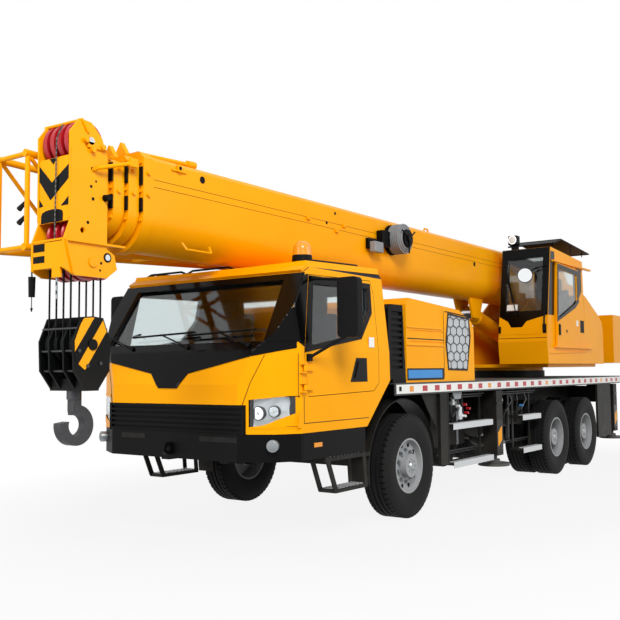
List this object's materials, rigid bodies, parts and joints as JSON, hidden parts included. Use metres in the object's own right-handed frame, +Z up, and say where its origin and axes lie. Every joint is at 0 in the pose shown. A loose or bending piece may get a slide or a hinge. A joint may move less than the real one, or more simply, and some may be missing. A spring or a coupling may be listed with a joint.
{
  "type": "truck-mounted mobile crane",
  "caption": "Truck crane with a full-width cab, telescopic box boom, slewing operator's cab, hook block, stowed fly jib and sliding outriggers on a wheeled carrier.",
  "frame": {"origin": "on the ground under the middle of the overall box", "axes": "+X forward, +Y to the left of the vehicle, +Z up"},
  "size_m": [12.41, 3.24, 3.6098],
  "materials": {
    "yellow_enamel": "gloss machinery yellow",
    "black_enamel": "satin black chassis paint",
    "grey_enamel": "satin grey paint",
    "black_plastic": "grained moulded plastic",
    "window_glass": "tinted toughened glass",
    "lamp_lens": "clear lens over reflectors",
    "tyre_rubber": "black tread rubber",
    "rim_paint": "silver wheel paint",
    "seat_trim": "dark seat cloth and dashboard trim",
    "step_metal": "pressed step treads on black hangers",
    "bright_steel": "ground cylinder rod",
    "red_nylon": "cast nylon rope sheaves",
    "hook_steel": "dark forged steel"
  },
  "bodies": {
    "carrier": {"chassis_frame": "black_enamel", "deck": "grey_enamel", "axles": "black_enamel", "engine": "grey_enamel", "engine_hood": "yellow_enamel", "air_intake": "black_plastic", "tanks": "grey_enamel", "steps": "step_metal", "fenders": "black_plastic", "bumper": "black_plastic", "cab_interior": "seat_trim", "cab_shell": "yellow_enamel", "cab_nose": "yellow_enamel", "cab_glass": "window_glass", "headlamps": "lamp_lens"},
    "steering_left": {"knuckle_left": "black_enamel"},
    "steering_right": {"knuckle_right": "black_enamel"},
    "wheel_front_left": {"tyre_front_left": "tyre_rubber", "rim_front_left": "rim_paint"},
    "wheel_front_right": {"tyre_front_right": "tyre_rubber", "rim_front_right": "rim_paint"},
    "wheel_middle_left": {"tyre_middle_left": "tyre_rubber", "rim_middle_left": "rim_paint"},
    "wheel_middle_right": {"tyre_middle_right": "tyre_rubber", "rim_middle_right": "rim_paint"},
    "wheel_rear_left": {"tyre_rear_left": "tyre_rubber", "rim_rear_left": "rim_paint"},
    "wheel_rear_right": {"tyre_rear_right": "tyre_rubber", "rim_rear_right": "rim_paint"},
    "cab_door_left": {"cab_door_left": "yellow_enamel", "cab_door_glass_left": "window_glass", "mirror_left": "black_plastic"},
    "cab_door_right": {"cab_door_right": "yellow_enamel", "cab_door_glass_right": "window_glass", "mirror_right": "black_plastic"},
    "outrigger_front_left": {"outrigger_beam_front_left": "black_enamel"},
    "jack_front_left": {"outrigger_jack_front_left": "grey_enamel"},
    "outrigger_front_right": {"outrigger_beam_front_right": "black_enamel"},
    "jack_front_right": {"outrigger_jack_front_right": "grey_enamel"},
    "outrigger_rear_left": {"outrigger_beam_rear_left": "black_enamel"},
    "jack_rear_left": {"outrigger_jack_rear_left": "grey_enamel"},
    "outrigger_rear_right": {"outrigger_beam_rear_right": "black_enamel"},
    "jack_rear_right": {"outrigger_jack_rear_right": "grey_enamel"},
    "superstructure": {"turntable": "yellow_enamel", "operator_cab": "yellow_enamel", "operator_glass": "window_glass", "counterweight": "yellow_enamel", "winches": "grey_enamel"},
    "operator_door": {"operator_door": "black_enamel", "operator_door_glass": "window_glass"},
    "boom_base": {"boom_base": "yellow_enamel", "fly_jib": "yellow_enamel"},
    "lift_cylinder": {"lift_cylinder": "black_enamel"},
    "lift_rod": {"lift_rod": "bright_steel"},
    "boom_section_2": {"boom_section_2": "yellow_enamel"},
    "boom_section_3": {"boom_section_3": "yellow_enamel"},
    "boom_section_4": {"boom_section_4": "yellow_enamel", "head_sheaves": "red_nylon"},
    "hook_block": {"hook_block": "hook_steel"},
    "hook": {"hook": "hook_steel"}
  },
  "joints": [
    {"name": "steer_left", "type": "hinge", "parent": "carrier", "child": "steering_left", "pos_m": [2.545, 0.92, 0.542], "axis": [0, 0, 1], "range_deg": [-35, 35]},
    {"name": "steer_right", "type": "hinge", "parent": "carrier", "child": "steering_right", "pos_m": [2.545, -0.92, 0.542], "axis": [0, 0, 1], "range_deg": [-36, 36]},
    {"name": "roll_front_left", "type": "hinge", "parent": "steering_left", "child": "wheel_front_left", "pos_m": [2.545, 1.092, 0.542], "axis": [0, 1, 0], "continuous": true},
    {"name": "roll_front_right", "type": "hinge", "parent": "steering_right", "child": "wheel_front_right", "pos_m": [2.545, -1.092, 0.542], "axis": [0, 1, 0], "continuous": true},
    {"name": "roll_middle_left", "type": "hinge", "parent": "carrier", "child": "wheel_middle_left", "pos_m": [-1.88, 1.092, 0.542], "axis": [0, 1, 0], "continuous": true},
    {"name": "roll_middle_right", "type": "hinge", "parent": "carrier", "child": "wheel_middle_right", "pos_m": [-1.88, -1.092, 0.542], "axis": [0, 1, 0], "continuous": true},
    {"name": "roll_rear_left", "type": "hinge", "parent": "carrier", "child": "wheel_rear_left", "pos_m": [-3.23, 1.092, 0.542], "axis": [0, 1, 0], "continuous": true},
    {"name": "roll_rear_right", "type": "hinge", "parent": "carrier", "child": "wheel_rear_right", "pos_m": [-3.23, -1.092, 0.542], "axis": [0, 1, 0], "continuous": true},
    {"name": "swing_cab_door_left", "type": "hinge", "parent": "carrier", "child": "cab_door_left", "pos_m": [4.413, 1.238, 1.5], "axis": [0, 0, -1], "range_deg": [0, 70]},
    {"name": "swing_cab_door_right", "type": "hinge", "parent": "carrier", "child": "cab_door_right", "pos_m": [4.413, -1.238, 1.5], "axis": [0, 0, 1], "range_deg": [0, 70]},
    {"name": "extend_front_left", "type": "slide", "parent": "carrier", "child": "outrigger_front_left", "axis": [0, 1, 0], "range_m": [0, 1.8]},
    {"name": "lower_front_left", "type": "slide", "parent": "outrigger_front_left", "child": "jack_front_left", "axis": [0, 0, -1], "range_m": [0, 0.55]},
    {"name": "extend_front_right", "type": "slide", "parent": "carrier", "child": "outrigger_front_right", "axis": [0, -1, 0], "range_m": [0, 1.8]},
    {"name": "lower_front_right", "type": "slide", "parent": "outrigger_front_right", "child": "jack_front_right", "axis": [0, 0, -1], "range_m": [0, 0.55]},
    {"name": "extend_rear_left", "type": "slide", "parent": "carrier", "child": "outrigger_rear_left", "axis": [0, 1, 0], "range_m": [0, 1.8]},
    {"name": "lower_rear_left", "type": "slide", "parent": "outrigger_rear_left", "child": "jack_rear_left", "axis": [0, 0, -1], "range_m": [0, 0.55]},
    {"name": "extend_rear_right", "type": "slide", "parent": "carrier", "child": "outrigger_rear_right", "axis": [0, -1, 0], "range_m": [0, 1.8]},
    {"name": "lower_rear_right", "type": "slide", "parent": "outrigger_rear_right", "child": "jack_rear_right", "axis": [0, 0, -1], "range_m": [0, 0.55]},
    {"name": "slew", "type": "hinge", "parent": "carrier", "child": "superstructure", "pos_m": [-2.955, 0, 1.52], "axis": [0, 0, 1], "continuous": true},
    {"name": "slide_operator_door", "type": "slide", "parent": "superstructure", "child": "operator_door", "axis": [-1, 0, 0], "range_m": [0, 0.6]},
    {"name": "boom_lift", "type": "hinge", "parent": "superstructure", "child": "boom_base", "pos_m": [-4.555, 0, 3.1], "axis": [0, -1, 0], "range_deg": [0, 80]},
    {"name": "lift_cylinder_tilt", "type": "hinge", "parent": "superstructure", "child": "lift_cylinder", "pos_m": [-3.955, 0, 1.8], "axis": [0, -1, 0], "range_deg": [-1, 69]},
    {"name": "lift_rod_stroke", "type": "slide", "parent": "lift_cylinder", "child": "lift_rod", "axis": [0.9682, 0, 0.2501], "range_m": [-0.01, 1.72]},
    {"name": "telescope_2", "type": "slide", "parent": "boom_base", "child": "boom_section_2", "axis": [1, 0, 0], "range_m": [0, 7.6]},
    {"name": "telescope_3", "type": "slide", "parent": "boom_section_2", "child": "boom_section_3", "axis": [1, 0, 0], "range_m": [-0.01, 7.65]},
    {"name": "telescope_4", "type": "slide", "parent": "boom_section_3", "child": "boom_section_4", "axis": [1, 0, 0], "range_m": [-0.01, 7.65]},
    {"name": "hook_block_swing", "type": "hinge", "parent": "boom_section_4", "child": "hook_block", "pos_m": [5.925, 0, 2.44], "axis": [0, -1, 0], "range_deg": [-81, 1]},
    {"name": "hook_swivel", "type": "hinge", "parent": "hook_block", "child": "hook", "pos_m": [5.925, 0, 1.4], "axis": [0, 0, 1], "continuous": true}
  ],
  "couplings": [
    {"joint": "steer_right", "follows": "steer_left", "ratio": 1},
    {"joint": "lift_cylinder_tilt", "follows": "boom_lift", "ratio": 0.84236},
    {"joint": "lift_rod_stroke", "follows": "boom_lift", "m_per_rad": 1.2172},
    {"joint": "telescope_3", "follows": "telescope_2", "ratio": 1},
    {"joint": "telescope_4", "follows": "telescope_2", "ratio": 1},
    {"joint": "hook_block_swing", "follows": "boom_lift", "ratio": -1}
  ]
}
